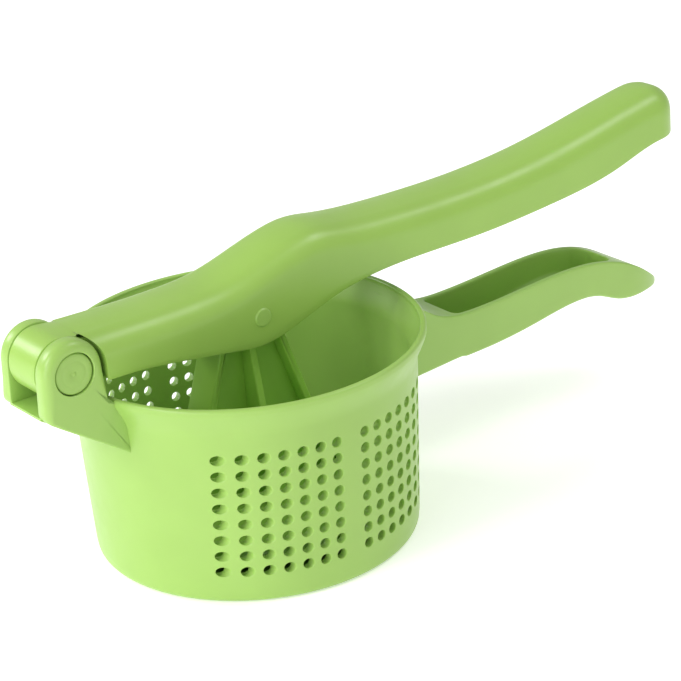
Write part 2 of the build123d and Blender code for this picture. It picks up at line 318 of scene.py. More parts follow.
def sizes():
    """The panel's sizes, in millimetres."""
    group = bpy.context.scene.ricer_sizes
    return SimpleNamespace(**{name: getattr(group, name) / MM for name in RicerSizes.__annotations__})


def colours():
    """The panel's colours, as linear light."""
    return bpy.context.scene.ricer_colours


# ------------------------------------------------------------------ cup


FLARE = (8.4, 1.5)  # the wall flares between these two drops below the rim
RIM_EDGE = 1.6  # thickness of the rim's top edge


def flared_radius(z, straight, full, low, high):
    """A straight draft that curves out to a full radius: share of the way is t squared (1.9 - 0.9 t)."""
    t = np.clip((z - low) / (high - low), 0, 1)
    return straight + (full - straight) * t * t * (1.9 - 0.9 * t)


def wall_outside(z):
    """Outer radius of the cup's wall at each height: a straight draft, then a flare out to the rim."""
    s = sizes()
    low, high = s.cup_height - FLARE[0], s.cup_height - FLARE[1]
    draft = s.foot_radius + (s.wall_radius - s.foot_radius) * z / low
    return flared_radius(z, draft, s.rim_radius, low, high)


def wall_inside(z):
    """Inner radius of the cup's wall: the same draft and flare, a wall further in."""
    s = sizes()
    low, high = s.cup_height - FLARE[0] + 0.6, s.cup_height - FLARE[1] + 0.7
    draft = s.foot_radius - s.wall + (s.wall_radius - s.foot_radius) * z / (s.cup_height - FLARE[0])
    return flared_radius(z, draft, s.rim_radius - RIM_EDGE, low, high)


SIDE = 6  # edges along one side of a hole's cell


def panel_lines():
    """X of the cell borders across one face of the cup, and Z of the borders of the rows."""
    s = sizes()
    pitch = s.hole_pitch
    first = s.panel_gap / 2 - pitch / 2
    right = first + pitch * np.arange(8)
    across = np.concatenate([-right[::-1], right])
    top = s.cup_height - s.panel_drop + pitch / 2
    return across, top - pitch * np.arange(9)[::-1]


def cup_columns(radius_of, at_rim):
    """Angle of every column at the top row, bottom row and rim, front face first, going round once.

    On the panels a column stays at its own X, so cells stay square; elsewhere it stays at its angle.
    """
    across, rows = panel_lines()
    x = spread(*across, count=SIDE)
    angles = []
    for z in (rows[0], rows[-1]):
        front = np.arcsin(x / radius_of(z))
        side = np.linspace(front[-1], np.pi - front[-1], 41)[1:-1]
        half = np.concatenate([front, side])
        angles.append(np.concatenate([half, half + np.pi, [front[0] + 2 * np.pi]]))
    front = np.arcsin(x / at_rim)
    side = np.linspace(front[-1], np.pi - front[-1], 41)[1:-1]
    half = np.concatenate([front, side])
    rim = np.concatenate([half, half + np.pi, [front[0] + 2 * np.pi]])
    return x, angles[0], angles[1], rim


def turned(angle, radius, z):
    """Points at an angle from the front (-Y), a radius and a height."""
    angle, radius, z = np.broadcast_arrays(angle, radius, z)
    return np.stack([radius * np.sin(angle), -radius * np.cos(angle), z], axis=-1)


def cup_skin(radius_of, profile_low, profile_high, common):
    """One skin of the cup: rows below the panels, between the holes and above them.

    profile_low and profile_high are (radius, height) runs that start at the panels' edges.
    """
    x, low, high, rim = cup_columns(radius_of, common)
    across, rows = panel_lines()
    grids = []
    r, z = profile_low.T
    grids.append(turned(low[None, :], r[:, None], z[:, None]))
    r, z = profile_high.T
    rise = np.clip((z - rows[-1]) / (sizes().cup_height - rows[-1]), 0, 1)[:, None]
    rise = np.where(np.arange(len(z))[:, None] >= len(z) - 1, 1.0, rise)
    grids.append(turned(high * (1 - rise) + rim * rise, r[:, None], z[:, None]))
    # blank sides between the panels
    zs = spread(*rows, count=SIDE)[:, None]
    radius = radius_of(zs)
    edge = np.arcsin(x[-1] / radius)
    t = np.linspace(0, 1, 41)[None, :]
    side = edge + (np.pi - 2 * edge) * t
    grids.append(turned(side, radius, zs))
    grids.append(turned(side + np.pi, radius, zs))
    # blank strip down the middle of each face
    middle = x[(x > across[7] - 1e-6) & (x < across[8] + 1e-6)][None, :]
    for sign in (-1, 1):
        y = sign * np.sqrt(radius**2 - middle**2)
        grids.append(np.stack(np.broadcast_arrays(middle, y, zs), axis=-1))
    return grids


def hole_cells():
    """Centres of all the holes in one face, as (x, z)."""
    across, rows = panel_lines()
    x = (across[:-1] + across[1:]) / 2
    x = np.concatenate([x[:7], x[8:]])
    z = (rows[:-1] + rows[1:]) / 2
    return np.stack(np.meshgrid(x, z), axis=-1).reshape(-1, 1, 1, 2)


def cell_rings(fractions, radius):
    """Rings from a square cell's border to a round hole, as straight blends of the two."""
    half = sizes().hole_pitch / 2
    t = np.linspace(-1, 1, SIDE, endpoint=False)
    one = np.ones(SIDE)
    sides = ((t, -one), (one, t), (-t, one), (-one, -t))
    square = np.concatenate([np.stack(side, 1) for side in sides])
    square = np.concatenate([square, square[:1]]) * half
    circle = radius * square / np.linalg.norm(square, axis=1, keepdims=True)
    f = np.array(fractions)[:, None, None]
    return square * (1 - f) + circle * f


def on_wall(xz, depth, radius_of, sign):
    """Points of a flat (x, z) pattern laid on the front (-1) or back (1) of a skin, at a depth in it."""
    y = np.sqrt(radius_of(xz[..., 1]) ** 2 - xz[..., 0] ** 2) - depth
    return np.stack([xz[..., 0], sign * y, xz[..., 1]], axis=-1)


def hole_grids():
    """Every hole: cell on the outer skin, rolled mouth, tapering bore and cell on the inner skin."""
    s = sizes()
    centres = hole_cells()
    radius = s.hole / 2
    outer = centres + cell_rings([0, 0.5, 0.85, 1.0], radius + 0.16)
    inner = centres + cell_rings([1.0, 0.6, 0.0], radius - 0.1)
    roll = np.stack([cell_rings([1.0], radius + r)[0] for r in (0.05, 0.0, -0.1)])
    roll = centres + roll
    grids = []
    for sign in (-1, 1):
        mouth = on_wall(outer, 0.0, wall_outside, sign)
        back = on_wall(inner, 0.0, wall_inside, sign)
        first = on_wall(roll[:, :1], 0.06, wall_outside, sign)
        second = on_wall(roll[:, 1:2], 0.2, wall_outside, sign)
        bore = np.concatenate([mouth[:, -1:], first, second, back[:, :1]], axis=1)
        grids += [mouth, bore, back]
    return grids


def cup_grids():
    """The whole cup: outer and inner skins, holes, foot, floor and rim."""
    s = sizes()
    _, rows = panel_lines()
    low, high, top = rows[0], rows[-1], s.cup_height
    round_foot = 2.0
    up = np.linspace(low, round_foot, 6)
    foot = arc((s.foot_radius - round_foot, round_foot), round_foot, 0, -90, 9)
    flat = line((s.foot_radius - round_foot, 0.0), (0.0, 0.0), 12)
    outer_low = np.concatenate([np.stack([wall_outside(up), up], 1)[:-1], foot, flat[1:]])
    bend = np.linspace(top - FLARE[0], top - FLARE[1], 16)
    up = np.concatenate([np.linspace(high, bend[0], 4), bend[1:]])
    lip = 0.7
    outer_high = np.concatenate(
        [
            np.stack([wall_outside(up), up], 1),
            line((s.rim_radius, top - 1.1), (s.rim_radius, top - lip), 3),
            arc((s.rim_radius - lip, top - lip), lip, 0, 90, 7)[1:],
        ]
    )
    inner_rim = s.rim_radius - RIM_EDGE
    step = top - FLARE[0] + 0.6
    down = np.concatenate([np.linspace(high, step, 4), np.linspace(step, top - 0.8, 16)[1:]])
    inner_high = np.concatenate(
        [
            np.stack([wall_inside(down), down], 1),
            arc((inner_rim + 0.5, top - 0.5), 0.5, 180, 90, 6),
            [(s.rim_radius - lip, top)],
        ]
    )
    fillet = 2.2
    floor_edge = wall_inside(np.array(s.floor + fillet))
    down = np.linspace(low, s.floor + fillet, 5)
    inner_low = np.concatenate(
        [
            np.stack([wall_inside(down), down], 1)[:-1],
            arc((floor_edge - fillet, s.floor + fillet), fillet, 0, -90, 8),
            line((floor_edge - fillet, s.floor), (0.0, s.floor), 12)[1:],
        ]
    )
    common = s.rim_radius - lip
    grids = cup_skin(wall_outside, outer_low, outer_high, common)
    grids += cup_skin(wall_inside, inner_low, inner_high, common)
    return grids + hole_grids()


# ------------------------------------------------------------------ hinge bracket


def ear_outline():
    """Side outline of an ear: over the pin, down the front, back along the underside, up inside the wall.

    Returns the closed outline and the radius of the outer edge's rounding at every point of it.
    """
    s = sizes()
    r = s.ear_radius
    back, front = HINGE_X + r, HINGE_X - r
    rim = s.cup_height
    in_wall, in_rim, fillet = s.foot_radius - 0.8, s.wall_radius + 0.25, 0.9
    toe, heel = np.array([front - 0.4, rim - 0.2]), np.array([-in_wall, rim - 15.45])
    along = (heel - toe) / np.linalg.norm(heel - toe)
    rise = (toe - (front, HINGE_Z)) / np.linalg.norm(toe - (front, HINGE_Z))
    start, end = toe - rise * 1.6, toe + along * 1.6
    t = np.linspace(0, 1, 9)[:, None]
    corner = (1 - t) ** 2 * start + 2 * t * (1 - t) * toe + t**2 * end
    runs = (
        (arc((HINGE_X, HINGE_Z), r, 0, 180, 60)[:-1], 2.2),
        (line((front, HINGE_Z), start, 12)[:-1], 2.2),
        (corner[:-1], 1.4),
        (line(end, heel, 36)[:-1], 0.6),
        (line(heel, (-in_wall, rim - 6.0), 12)[:-1], 0.6),
        (line((-in_wall, rim - 6.0), (-in_rim, rim - 1.2), 8)[:-1], 0.4),
        (line((-in_rim, rim - 1.2), (back + fillet, rim - 0.2), 6)[:-1], 0.25),
        (arc((back + fillet, rim + 0.7), fillet, 270, 180, 6)[:-1], 0.25),
        (line((back, rim + 0.7), (back, rim + 5.0), 8)[:-1], 0.5),
        (line((back, rim + 5.0), (back, HINGE_Z), 8), 1.7),
    )
    path = np.concatenate([points for points, _ in runs])
    edge = np.concatenate([np.full(len(points), value) for points, value in runs])
    soften = np.ones(9) / 9
    wrapped = np.concatenate([edge[-5:-1], edge, edge[1:5]])
    edge = np.convolve(wrapped, soften, mode="valid")
    edge[-1] = edge[0]
    return path, edge


def ear_grids(side):
    """An ear: outline rings drawn in round the edge, then blended to a circle round the pin's seat."""
    s = sizes()
    outline, edge = ear_outline()
    normal = inward(outline)
    outside, inside = s.ear_outside, s.ear_inside
    seat, depth = 5.22, 1.95  # radius and depth of the pin head's recess
    rings = [(0.3, 0.0), (0.09, 0.09), (0.0, 0.3)]
    skins = [np.c_[outline + normal * a, np.full(len(outline), inside + y)] for a, y in rings]
    for a in np.radians(np.linspace(0, 90, 9)):
        drawn = (edge * (1 - math.cos(a)))[:, None]
        skins.append(np.c_[outline + normal * drawn, outside - edge * (1 - math.sin(a))])
    skins = np.stack(skins)
    angle = np.arctan2(outline[:, 1] - HINGE_Z, outline[:, 0] - HINGE_X)
    angle = np.unwrap(angle)
    angle = np.linspace(angle[0], angle[0] + 2 * np.pi, len(angle)) * 0.35 + angle * 0.65
    round_pin = np.stack([np.cos(angle), np.sin(angle)], axis=1)

    def ring(radius, y):
        return np.c_[(HINGE_X, HINGE_Z) + round_pin * radius, np.full(len(outline), y)]

    f = np.array([0.012, 0.04, *np.linspace(0, 1, 14)[1:]])[:, None, None]
    face = skins[-1:] * (1 - f) + ring(seat + 0.15, outside)[None] * f
    pit = np.stack([ring(seat, outside - 0.15), ring(seat, outside - depth), ring(0.0, outside - depth)])
    f = np.linspace(0, 1, 5)[1:, None, None]
    back = skins[:1] * (1 - f) + ring(0.0, inside)[None] * f
    whole = np.concatenate([back[::-1], skins, face, pit])
    return [np.stack([whole[..., 0], side * whole[..., 2], whole[..., 1]], axis=-1)]


def ledge_grids():
    """The ledge between the ears: a side outline with a thin rounded nose, carried straight across."""
    s = sizes()
    rim = s.cup_height
    nose, root = HINGE_X - s.ear_radius - 0.3, -s.wall_radius - 1.45
    top, under = rim - 0.03, rim - 2.4
    path = np.concatenate(
        [
            line((root, top), (nose + 0.35, top), 12)[:-1],
            arc((nose + 0.35, top - 0.35), 0.35, 90, 215, 7)[:-1],
            line((nose + 0.4, top - 0.7), (nose + 2.9, under), 5)[:-1],
            line((nose + 2.9, under), (root, under), 10)[:-1],
            line((root, under), (root, top), 3),
        ]
    )
    y = np.linspace(-s.ear_inside - 0.6, s.ear_inside + 0.6, 7)
    skin = np.stack([np.stack([path[:, 0], np.full(len(path), v), path[:, 1]], 1) for v in y])
    middle = np.broadcast_to(skin.mean(axis=1, keepdims=True), skin.shape)
    return [np.concatenate([middle[:1], skin, middle[-1:]])]


# ------------------------------------------------------------------ lower grip


POCKET = (16.0, 71.5)  # the channel starts and ends this far beyond the rim
GRIP_NOSE = 15.2  # the plan narrows over this last stretch


def grip_heights():
    """Side curves of the lower grip as (x, height): the top edge and the underside."""
    r, z = RIM, sizes().cup_height
    top = [
        (r - 5.0, z - 2.4),
        (r + 1.0, z - 4.4),
        (r + 4.7, z - 7.3),
        (r + 9.6, z - 10.5),
        (r + 16.0, z - 12.3),
        (r + 24.0, z - 12.7),
        (r + 40.0, z - 12.1),
        (r + 58.0, z - 11.9),
        (r + 69.5, z - 14.0),
        (r + 78.5, z - 18.2),
        (r + 85.0, z - 22.8),
        (GRIP_END, z - 26.0),
    ]
    under = [
        (r - 5.0, z - 25.2),
        (r + 10.0, z - 24.4),
        (r + 16.0, z - 24.1),
        (r + 25.0, z - 23.9),
        (r + 42.5, z - 22.3),
        (r + 57.0, z - 20.8),
        (r + 64.0, z - 21.8),
        (r + 71.0, z - 24.7),
        (r + 75.0, z - 25.5),
        (r + 83.0, z - 25.9),
        (GRIP_END, z - 26.9),
    ]
    return top, under


def grip_plan():
    """Half outlines of the grip and its channel, matched point for point, as (x, y).

    The grip runs straight and ends in half an ellipse; the channel starts square with small corners.
    """
    s = sizes()
    turn, half = GRIP_END - GRIP_NOSE, s.grip_half
    start, stop = s.rim_radius + POCKET[0], s.rim_radius + POCKET[1]
    bend = np.radians(np.linspace(-90, 0, 36))
    nose = np.stack([turn + GRIP_NOSE * np.cos(bend), half * np.sin(bend)], axis=1)
    outer = np.concatenate(
        [
            line((40.0, 0.0), (40.0, -half), 9)[:-1],
            line((40.0, -half), (start + 2, -half), 17)[:-1],
            line((start + 2, -half), (turn, -half), 60)[:-1],
            nose,
        ]
    )
    room = half - s.grip_wall
    far = 4.6
    inner = np.concatenate(
        [
            line((start, 0.0), (start, 1.8 - room), 17)[:-1],
            arc((start + 1.8, 1.8 - room), 1.8, 180, 270, 9)[:-1],
            line((start + 1.8, -room), (stop - far, -room), 60)[:-1],
            arc((stop - far, far - room), far, 270, 360, 24)[:-1],
            line((stop, far - room), (stop, 0.0), 12),
        ]
    )
    inner = np.concatenate([inner[:24], resample(inner[24:], len(outer) - 24)])
    return outer, inner


def mirrored(run):
    """A half outline and its mirror image, as one closed ring."""
    return np.concatenate([run, run[-2::-1] * (1, -1)])


def grip_grids():
    """The grip: rings round its plan, under, up the outside, over the edge and down into the channel."""
    s = sizes()
    top_points, under_points = grip_heights()
    half_outer, half_inner = grip_plan()
    outer, inner = mirrored(half_outer), mirrored(half_inner)
    out_normal, in_normal = inward(outer), inward(inner)
    spine = np.stack([np.clip(outer[:, 0], None, GRIP_END - s.grip_half), np.zeros(len(outer))], axis=1)
    bed_end = s.rim_radius + POCKET[1] - 6.6
    bed = np.stack([np.clip(inner[:, 0], None, bed_end), np.zeros(len(inner))], axis=1)
    step = s.rim_radius + 17.2

    def top(x):
        return smooth(top_points, x)

    def under(x):
        return smooth(under_points, x) - 0.45 * np.clip((x - step) / 0.9, 0, 1)

    def ring(plan, height):
        return np.c_[plan, height]

    rings = []
    soft, lip = 1.0, 0.5
    for f in (0.0, 0.35, 0.7, 0.94):
        plan = spine + (outer + out_normal * soft - spine) * f
        rings.append(ring(plan, under(plan[:, 0])))
    for a in np.radians(np.linspace(0, 90, 6)):
        plan = outer + out_normal * soft * (1 - math.sin(a))
        room = np.minimum(soft, 0.45 * (top(plan[:, 0]) - under(plan[:, 0])))
        rings.append(ring(plan, under(plan[:, 0]) + room * (1 - math.cos(a))))
    low = rings[-1][:, 2]
    edge = np.minimum(lip, 0.3 * (top(outer[:, 0]) - under(outer[:, 0])))
    for f in (0.25, 0.5, 0.75, 1.0):
        rings.append(ring(outer, low * (1 - f) + (top(outer[:, 0]) - edge) * f))
    for a in np.radians((30, 60, 90)):
        plan = outer + out_normal * lip * (1 - math.cos(a))
        rings.append(ring(plan, top(plan[:, 0]) - edge * (1 - math.sin(a))))
    rim_out, rim_in = rings[-1], inner - in_normal * lip
    for f in np.linspace(0, 1, 13)[1:]:
        plan = rim_out[:, :2] * (1 - f) + rim_in * f
        rings.append(ring(plan, top(plan[:, 0])))
    for a in np.radians((30, 60, 90)):
        plan = inner - in_normal * lip * (1 - math.sin(a))
        rings.append(ring(plan, top(plan[:, 0]) - lip * (1 - math.cos(a))))
    deep = 1.4
    high = rings[-1][:, 2]
    bottom = under(inner[:, 0]) + s.grip_floor
    fillet = np.minimum(deep, 0.5 * (high - bottom))
    for f in (0.25, 0.5, 0.75, 1.0):
        rings.append(ring(inner, high * (1 - f) + (bottom + fillet) * f))
    for a in np.radians(np.linspace(15, 90, 6)):
        plan = inner + in_normal * deep * (1 - math.cos(a))
        rings.append(ring(plan, under(plan[:, 0]) + s.grip_floor + fillet * (1 - math.sin(a))))
    last = inner + in_normal * deep
    for f in (0.7, 0.4, 0.0):
        plan = bed + (last - bed) * f
        rings.append(ring(plan, under(plan[:, 0]) + s.grip_floor))
    whole = np.stack(rings)
    # the root ends inside the cup's wall
    root = whole[..., 0] < 41.2
    middle = np.sqrt((wall_outside(whole[..., 2]) - 1.0) ** 2 - whole[..., 1] ** 2)
    whole[..., 0] = np.where(root, middle, whole[..., 0])
    return [whole]


# ------------------------------------------------------------------ lever


def lever_heights():
    """Side curves of the lever as (x, height over the hinge pin): its ridge and the edge of its sides."""
    r = RIM
    ridge = [
        (HINGE_X, 7.8),
        (-0.78 * r, 7.1),
        (-0.45 * r, 6.9),
        (-0.20 * r, 7.6),
        (0.10 * r, 11.0),
        (0.30 * r, 13.3),
        (0.42 * r, 13.9),
        (0.60 * r, 12.9),
        (r, 11.3),
        (r + 24.0, 10.9),
        (r + 50.0, 12.8),
        (r + 74.0, 16.9),
        (LEVER_END, 20.4),
    ]
    keel = [
        (HINGE_X, -4.4),
        (-0.80 * r, -4.9),
        (-0.45 * r, -7.1),
        (-0.20 * r, -9.0),
        (0.0, -10.0),
        (0.20 * r, -8.2),
        (0.50 * r, -4.0),
        (0.85 * r, -1.9),
        (r + 22.0, -2.0),
        (r + 48.0, -0.9),
        (r + 72.0, 2.4),
        (r + 84.5, 5.6),
        (LEVER_END, 6.2),
    ]
    return ridge, keel


def ridge_at(x):
    """Height of the lever's ridge."""
    return HINGE_Z + smooth(lever_heights()[0], x)


def keel_at(x):
    """Height of the lower edge of the lever's sides."""
    return HINGE_Z + smooth(lever_heights()[1], x)


LEVER_ROOT = 4.4  # where the sides start, beyond the hinge pin
ARM_REACH = 12.4  # how far the barrel's arm reaches into the lever
SHOULDER = 6.2  # radius of the lever's long shoulders
CROWN_SLOPE = math.radians(12)  # how far the crown leans where it meets the shoulders
CROWN_COLUMNS = (0.0, 0.33, 0.65, 0.975, 1.0)


def lever_plan(inset, corner):
    """Plan outline of the lever from its root, round the tip and back, drawn in by a wall."""
    s = sizes()
    root = HINGE_X + LEVER_ROOT
    half_root = s.lever_half - inset
    half_tip = s.lever_tip_half - inset
    end = LEVER_END - inset
    first = np.concatenate(
        [
            line((root, -half_root), (end - corner, -half_tip), 120)[:-1],
            arc((end - corner, corner - half_tip), corner, 270, 360, 16)[:-1],
            line((end, corner - half_tip), (end, 0.0), 7),
        ]
    )
    return np.concatenate([first, first[-2::-1] * (1, -1)])


def lever_shell(inset, roof, shoulder, corner):
    """Rings of one skin of the lever from its edge up the side, over the shoulder and along the crown.

    The shoulder is an arc that stops short of level, and the crown goes on from it as a parabola.
    """
    plan = lever_plan(inset, corner)
    normal = inward(plan)
    full = math.pi / 2 - CROWN_SLOPE
    shoulder = shoulder + np.clip((plan[:, 0] - plan[:, 0].max() + 22) / 20, 0, 1) ** 2
    last = plan + normal * (shoulder * (1 - math.cos(full)))[:, None]
    stop = plan[:, 0].max() - abs(plan[:, 1]).max()
    spine = np.stack([np.clip(last[:, 0], None, stop), np.zeros(len(plan))], axis=1)
    reach = np.linalg.norm(last - spine, axis=1)
    sag = 0.5 * math.tan(CROWN_SLOPE) * reach
    rings = []

    def top(x):
        return ridge_at(x) - roof

    bottom = keel_at(plan[:, 0]) + 0.45
    high = top(plan[:, 0]) - sag - shoulder * math.sin(full)
    for f in np.linspace(0, 1, 7):
        rings.append(np.c_[plan, bottom * (1 - f) + high * f])
    for a in np.linspace(0, full, 11)[1:]:
        at = plan + normal * (shoulder * (1 - math.cos(a)))[:, None]
        rings.append(np.c_[at, top(at[:, 0]) - sag - shoulder * (math.sin(full) - math.sin(a))])
    for f in CROWN_COLUMNS[-2::-1]:
        at = spine + (last - spine) * f
        rings.append(np.c_[at, top(at[:, 0]) - sag * f * f])
    return np.stack(rings)


def root_reach(z):
    """How far from the hinge pin the sides start at each height: clear of the ears' round ends."""
    clear = sizes().ear_radius + 0.8
    return np.sqrt(clear**2 - np.clip(z - HINGE_Z, 0, clear - 0.5) ** 2)


def lever_grids():
    """The lever: outer and inner skins, rolled edge between them, and a seat cut back round each ear."""
    s = sizes()
    outer = lever_shell(0.0, 0.0, SHOULDER, 7.6)
    inner = lever_shell(s.lever_wall, s.lever_roof, 3.8, 5.4)
    sides = (np.arange(len(outer)) < len(outer) - len(CROWN_COLUMNS) + 1)[:, None]
    base = HINGE_X + LEVER_ROOT
    fade = np.clip(1 - (outer[..., 0] - base) / 16, 0, 1) * sides
    outer[..., 0] += fade * (HINGE_X + root_reach(outer[..., 2]) - base)
    chamber = HINGE_X + ARM_REACH + 0.2
    inner[..., 0] = np.maximum(inner[..., 0], chamber)
    wall = s.lever_wall
    edge = []
    for a, rise in ((0.13, 0.13), (0.45, 0.0), (wall - 0.45, 0.0), (wall - 0.13, 0.13)):
        f = a / wall
        xy = outer[0, :, :2] * (1 - f) + inner[0, :, :2] * f
        edge.append(np.c_[xy, keel_at(xy[:, 0]) + rise])
    grids = [np.concatenate([outer[::-1], np.stack(edge), inner])]
    # the seat round the ears: from the outer skin's root straight in to the arm
    arm_half = s.ear_inside - 0.3
    for column, side in ((0, -1), (-1, 1)):
        border = outer[: len(outer) - len(CROWN_COLUMNS) + 2, column]
        inside = border.copy()
        inside[:, 1] = side * np.minimum(np.abs(border[:, 1]), arm_half - 0.2)
        grids.append(np.stack([border, inside]))
        cavity = inner[:, column]
        grids.append(np.stack([cavity, np.broadcast_to([chamber, 0.0, cavity[0, 2]], cavity.shape)]))
    return grids


def arm_grids():
    """The barrel and its arm between the ears: a side outline carried across and crowned."""
    s = sizes()
    r = s.barrel_radius
    reach = s.lever_half - SHOULDER * (1 - math.sin(CROWN_SLOPE))
    under = (HINGE_X + r * math.cos(math.radians(60)), HINGE_Z - r * math.sin(math.radians(60)))
    end = HINGE_X + ARM_REACH
    columns = np.array(CROWN_COLUMNS[:-1]) * reach
    across = np.concatenate([-columns[::-1], columns[1:]])
    root = HINGE_X + LEVER_ROOT
    top = np.linspace(root, HINGE_X, 8)
    path = np.concatenate(
        [
            np.stack([top, ridge_at(top)], 1)[:-1],
            arc((HINGE_X, HINGE_Z), r, 90, 300, 64)[:-1],
            line(under, (end, HINGE_Z - 5.4), 6)[:-1],
            line((end, HINGE_Z - 5.4), (end, HINGE_Z + 4.6), 4)[:-1],
            line((end, HINGE_Z + 4.6), (root + 0.4, HINGE_Z + 6.0), 4)[:-1],
            line((root + 0.4, HINGE_Z + 6.0), (root, ridge_at(np.array(root)) - 1.4), 3),
        ]
    )
    travel = np.concatenate([[0], np.cumsum(np.linalg.norm(np.diff(path, axis=0), axis=1))])
    sag = 0.5 * math.tan(CROWN_SLOPE) / reach * across**2
    weight = np.clip(1 - travel / 9.0, 0, 1) ** 1.5
    closed = np.concatenate([path, path[:1]])
    weight = np.concatenate([weight, [1.0]])
    normal = inward(closed)
    skin = np.stack(
        [
            np.stack([closed[:, 0], np.full(len(closed), y), closed[:, 1] - weight * drop], axis=1)
            for y, drop in zip(across, sag)
        ]
    )
    ends = []
    for side in (0, -1):
        ring = skin[side].copy()
        ring[:, 0] += normal[:, 0] * 0.25
        ring[:, 2] += normal[:, 1] * 0.25
        ring[:, 1] += 0.2 * np.sign(across[side])
        middle = np.broadcast_to([HINGE_X, ring[0, 1], HINGE_Z], ring.shape)
        ends.append(np.stack([ring, middle]))
    return [np.concatenate([ends[0][::-1], skin, ends[1]])]


# ------------------------------------------------------------------ plunger


def slab_grids(corners, thickness, place, soft=0.35, steps=10):
    """A flat plate with softened edges: rings drawn in from its outline to the middle of both faces."""
    corners = np.array(corners, float)
    closed = np.concatenate([corners, corners[:1]])
    path = np.concatenate([line(a, b, steps)[:-1] for a, b in zip(closed, closed[1:])])
    path = np.concatenate([path, path[:1]])
    turning = np.sum(path[:-1, 0] * path[1:, 1] - path[1:, 0] * path[:-1, 1])
    normal = inward(path) * np.sign(turning)
    centre = path[:-1].mean(axis=0)
    half = thickness / 2
    rings = []
    for f in (0.0, 0.5, 0.9):
        rings.append(np.c_[centre + (path + normal * soft - centre) * f, np.full(len(path), -half)])
    for a in np.radians(np.linspace(0, 90, 4)):
        depth = np.full(len(path), soft * (1 - math.cos(a)) - half)
        rings.append(np.c_[path + normal * soft * (1 - math.sin(a)), depth])
    flat = np.stack(rings)
    whole = np.concatenate([flat, flat[::-1] * (1, 1, -1)])
    return place(whole[..., 0], whole[..., 1], whole[..., 2])


def lathe_grids(profile, centre, steps=96, axis="z"):
    """A profile of (radius, height) turned once round an axis through the centre."""
    angle = np.linspace(0, 2 * np.pi, steps + 1)
    r, h = np.array(profile, float).T
    a = r[:, None] * np.cos(angle)
    b = r[:, None] * np.sin(angle)
    h = np.broadcast_to(h[:, None], a.shape)
    ordered = (a, b, h) if axis == "z" else (a, h, b)
    return np.stack(ordered, axis=-1) + np.array(centre, float)


def rod_profile(radius, half, bevel):
    """Half section of a short rod with bevelled ends, as (radius, height) from end to end."""
    low = [(0.0, -half), (radius - bevel, -half), (radius, bevel - half)]
    return low + [(r, -h) for r, h in reversed(low)]


def plunger_grids():
    """Press plate with upturned lip, middle web, leaning flanges, cross rib and the head round the pin."""
    s = sizes()
    t = s.rib
    base = s.plate_lift
    top = base + 2.4
    lip = top + 3.6
    r = s.plate_radius
    plate = [
        (0.0, base),
        (r - 0.8, base),
        *arc((r - 0.8, base + 0.8), 0.8, -90, 0, 6)[1:],
        *arc((r - 0.6, lip - 0.6), 0.6, 0, 90, 5),
        *arc((r - t + 0.6, lip - 0.6), 0.6, 90, 180, 5),
        *arc((r - t - 1.0, top + 1.0), 1.0, 0, -90, 6),
        (0.0, top),
    ]
    grids = [lathe_grids(plate, (0, 0, 0), steps=144)]
    run = PRESS_Z - top
    hub, flange_half = 6.8, 4.6
    foot = hub - t + 0.33 * run
    sunk = top - 0.6

    def across(a, b, c):
        return np.stack([a, c, b], axis=-1)

    def lengthways(a, b, c):
        return np.stack([c, a, b], axis=-1)

    web = [(-foot, sunk), (foot, sunk), (hub - t + 0.4, PRESS_Z), (0.4 + t - hub, PRESS_Z)]
    grids.append(slab_grids(web, t, across))
    for side in (-1, 1):
        low = [(side * foot, sunk), (side * (foot + t), sunk)]
        high = [(side * hub, PRESS_Z), (side * (hub - t), PRESS_Z)]
        grids.append(slab_grids(low + high, 2 * flange_half, across, soft=0.4))
    half_top, half_foot = 3.0, 3.0 + 0.16 * run
    rib = [(-half_foot, sunk), (half_foot, sunk), (half_top, PRESS_Z), (-half_top, PRESS_Z)]
    grids.append(slab_grids(rib, t, lengthways))
    for radius, half in ((hub, flange_half - 0.1), (4.4, 7.7)):
        grids.append(lathe_grids(rod_profile(radius, half, 0.4), (0, 0, PRESS_Z), steps=64, axis="y"))
    return grids


# ------------------------------------------------------------------ pins


def headed(face, side, centre, shank, inner):
    """A pin's head: rolled edge, a faint turned ring and the gate mark where the plastic went in."""
    head = 5.0
    gate, ring = 0.75, 3.15  # radii of the gate mark's dip and of the turned ring
    profile = [
        (0.0, face + 0.02),
        (0.35, face + 0.02),
        (gate - 0.25, face - 0.1),
        (gate, face - 0.12),
        (gate + 0.25, face - 0.02),
        (ring - 0.25, face),
        (ring, face - 0.05),
        (ring + 0.25, face),
        (head - 0.5, face),
        (head - 0.25, face - 0.07),
        (head - 0.07, face - 0.25),
        (head, face - 0.5),
        (head, face - 1.9),
        (shank, face - 1.9),
        (shank, inner),
        (0.0, inner),
    ]
    return lathe_grids([(r, side * y) for r, y in profile], centre, steps=96, axis="y")


# ------------------------------------------------------------------ operators


class RICER_OT_cup(bpy.types.Operator):
    """Cup with its four perforated panels, rolled rim and round foot"""

    bl_idname = "ricer.cup"
    bl_label = "Cup"

    def execute(self, context):
        finish = moulded_polypropylene("Moulded polypropylene, cup", colours().shell)
        make_piece("cup", cup_grids(), finish, "basket", ("basket",))
        return {"FINISHED"}


class RICER_OT_bracket(bpy.types.Operator):
    """Hinge bracket: two ears and the ledge between them"""

    bl_idname = "ricer.bracket"
    bl_label = "Hinge bracket"

    def execute(self, context):
        finish = moulded_polypropylene("Moulded polypropylene, cup", colours().shell)
        for name, side in (("front", -1), ("back", 1)):
            make_piece(f"bracket_ear_{name}", ear_grids(side), finish, "basket")
        make_piece("bracket_ledge", ledge_grids(), finish, "basket")
        return {"FINISHED"}


